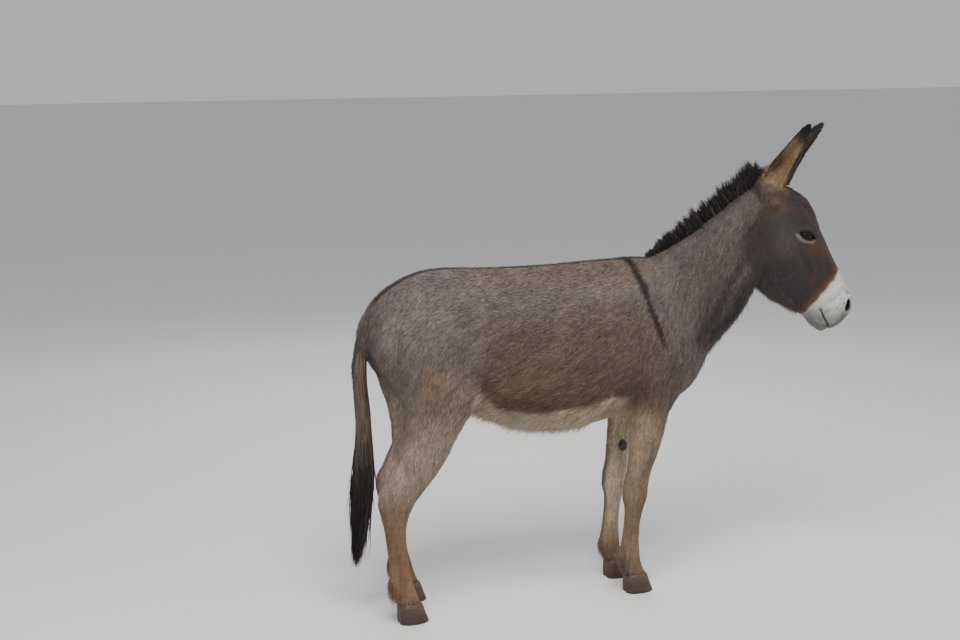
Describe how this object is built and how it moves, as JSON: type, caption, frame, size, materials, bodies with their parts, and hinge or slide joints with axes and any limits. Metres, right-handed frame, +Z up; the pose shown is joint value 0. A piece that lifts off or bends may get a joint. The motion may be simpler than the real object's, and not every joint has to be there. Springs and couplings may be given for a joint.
{
  "type": "standing donkey model",
  "caption": "Life-size still model of a standing donkey, head raised, ears up, tail hanging and all hooves level.",
  "frame": {"origin": "on the floor, under the middle of the whole length and width", "axes": "+X towards the muzzle, +Z up, the donkey's right side on -Y"},
  "size_m": [1.6344, 0.397, 1.4125],
  "materials": {
    "coat_grey": "short dense grey-brown hair",
    "coat_head": "short dark grey-brown hair",
    "coat_leg": "short tan-grey hair",
    "coat_white": "very short off-white hair",
    "ear_brown": "short tan hair with a dark tip and rim",
    "mane_black": "stiff black-brown long hair",
    "horn": "dull dark hoof horn",
    "eye_dark": "wet dark brown eye"
  },
  "bodies": {
    "root": {"trunk": "coat_grey", "neck": "coat_grey", "head": "coat_head", "muzzle": "coat_white", "ear_right": "ear_brown", "ear_left": "ear_brown", "eye_right": "eye_dark", "eye_left": "eye_dark", "foreleg_right": "coat_leg", "foreleg_left": "coat_leg", "hind_leg_right": "coat_leg", "hind_leg_left": "coat_leg", "hoof_fore_right": "horn", "hoof_fore_left": "horn", "hoof_hind_right": "horn", "hoof_hind_left": "horn", "mane": "mane_black", "tail_dock": "coat_grey", "tail_switch": "mane_black"}
  },
  "joints": []
}
